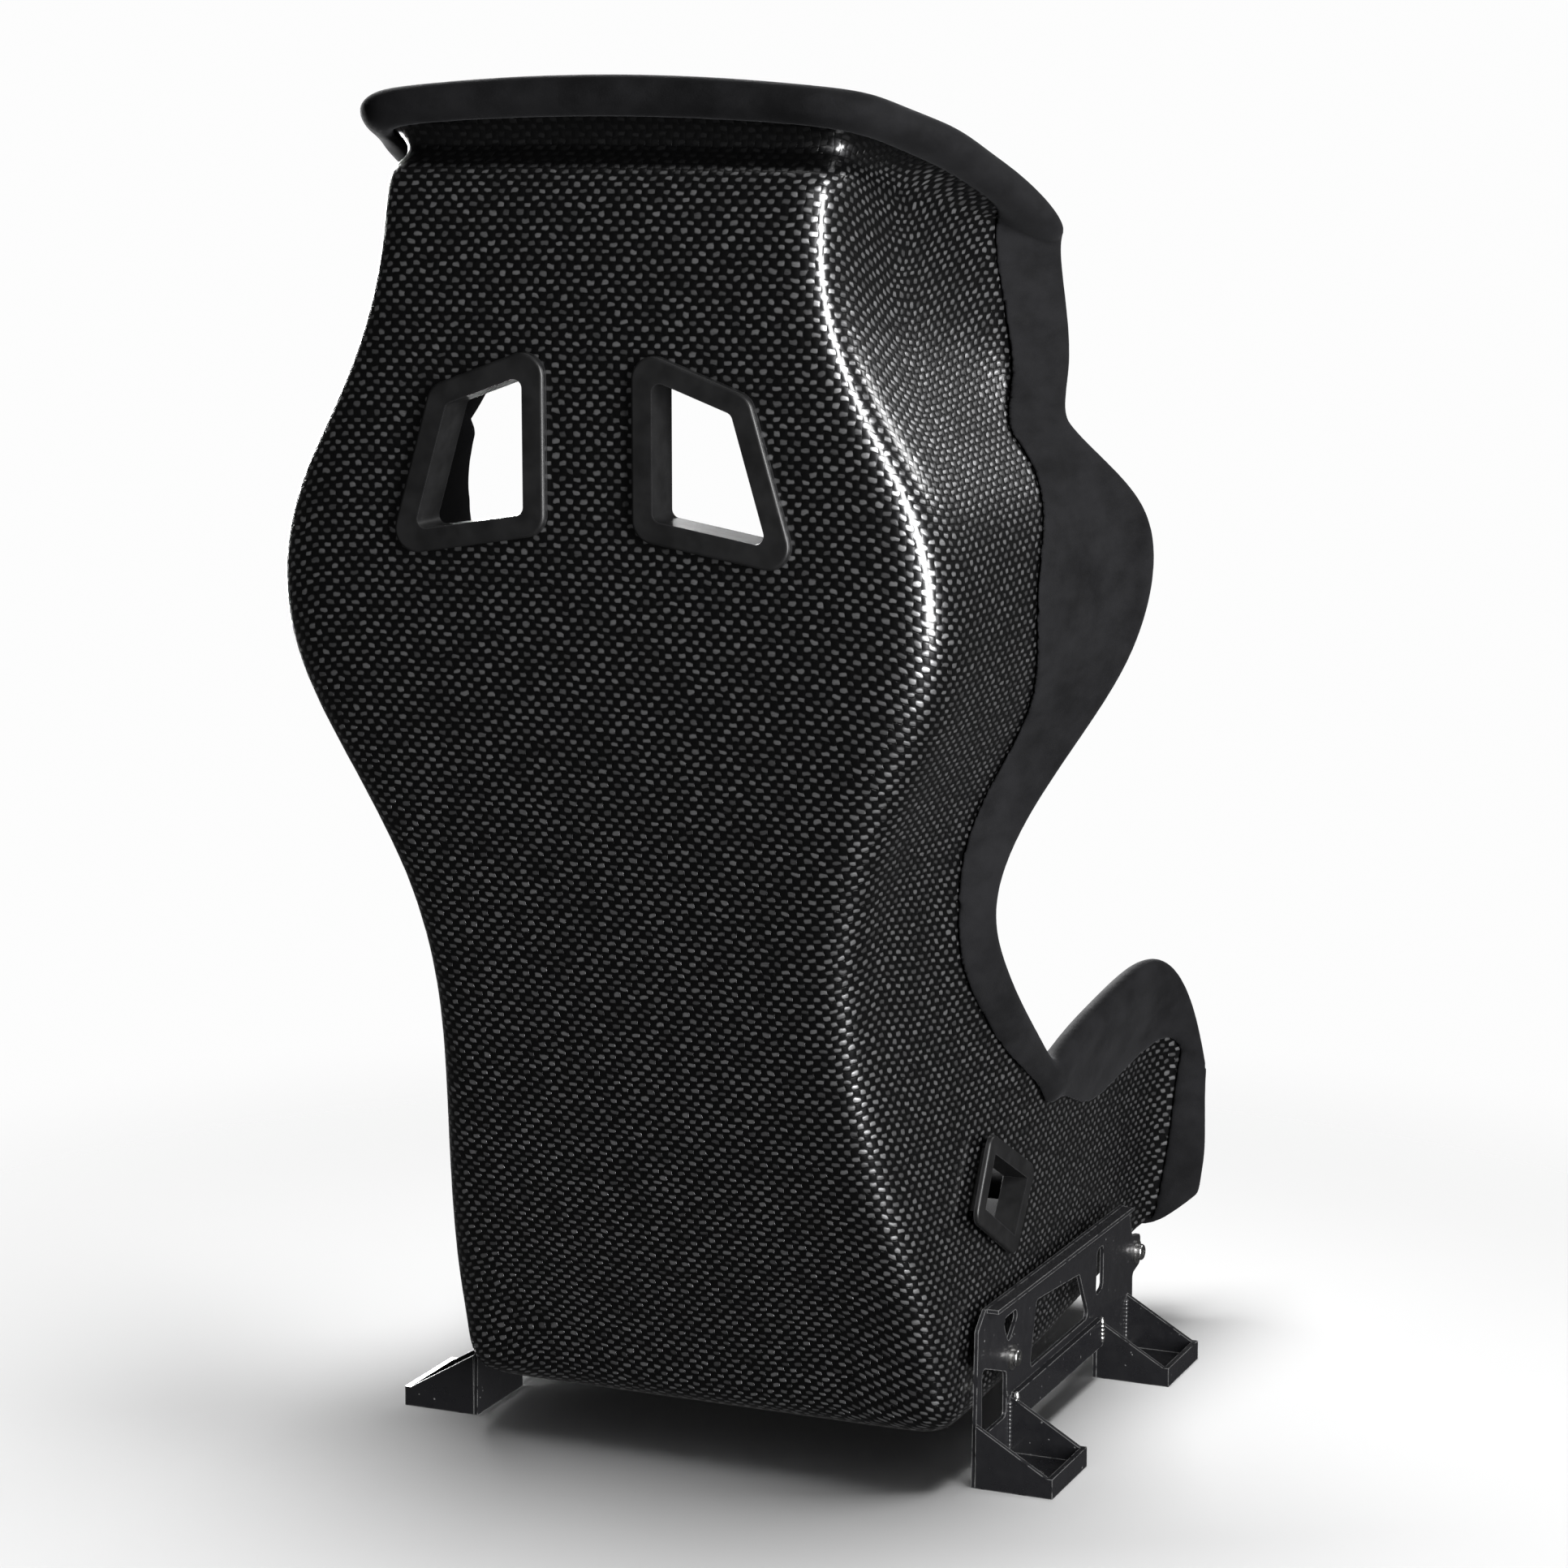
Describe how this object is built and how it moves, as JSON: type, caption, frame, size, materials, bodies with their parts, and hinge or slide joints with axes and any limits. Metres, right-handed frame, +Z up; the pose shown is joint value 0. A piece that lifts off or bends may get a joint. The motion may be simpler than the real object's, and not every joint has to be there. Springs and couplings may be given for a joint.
{
  "type": "racing seat",
  "caption": "Fixed-back bucket seat: glossy woven-carbon shell, suede-trimmed rim and pads, head wings, belt slots with bezels, and welded steel side brackets.",
  "frame": {"origin": "on the floor under the middle of the seat's overall box", "axes": "+Z up; the seated person faces -Y; their left is +X"},
  "size_m": [0.5834, 0.6527, 1.0034],
  "materials": {
    "carbon_laminate": "glossy clear-coated carbon weave",
    "suede": "black microfibre suede over foam",
    "bezel_plastic": "black moulded plastic, satin",
    "bracket_steel": "black painted welded steel",
    "fastener_steel": "zinc plated steel",
    "boss_metal": "turned aluminium"
  },
  "bodies": {
    "root": {"seat_shell": "carbon_laminate", "head_rim_trim": "suede", "left_rim_trim": "suede", "right_rim_trim": "suede", "front_rim_trim": "suede", "head_cushion": "suede", "shoulder_liner": "suede", "back_cushion": "suede", "lumbar_cushion": "suede", "seat_cushion": "suede", "left_head_side_cushion": "suede", "left_shoulder_side_cushion": "suede", "left_hip_side_cushion": "suede", "left_thigh_side_cushion": "suede", "right_head_side_cushion": "suede", "right_shoulder_side_cushion": "suede", "right_hip_side_cushion": "suede", "right_thigh_side_cushion": "suede", "left_shoulder_belt_bezel": "bezel_plastic", "left_shoulder_belt_inner_bezel": "bezel_plastic", "left_lap_belt_bezel": "bezel_plastic", "right_shoulder_belt_bezel": "bezel_plastic", "right_shoulder_belt_inner_bezel": "bezel_plastic", "right_lap_belt_bezel": "bezel_plastic", "crotch_strap_bezel": "bezel_plastic", "left_bracket_plate": "bracket_steel", "left_bracket_top_flange": "bracket_steel", "left_bracket_lower_bar": "bracket_steel", "left_bracket_rear_foot": "bracket_steel", "left_bracket_front_foot": "bracket_steel", "right_bracket_plate": "bracket_steel", "right_bracket_top_flange": "bracket_steel", "right_bracket_lower_bar": "bracket_steel", "right_bracket_rear_foot": "bracket_steel", "right_bracket_front_foot": "bracket_steel", "seat_bolts": "fastener_steel", "seat_washers": "fastener_steel", "seat_threaded_bosses": "boss_metal"}
  },
  "joints": []
}
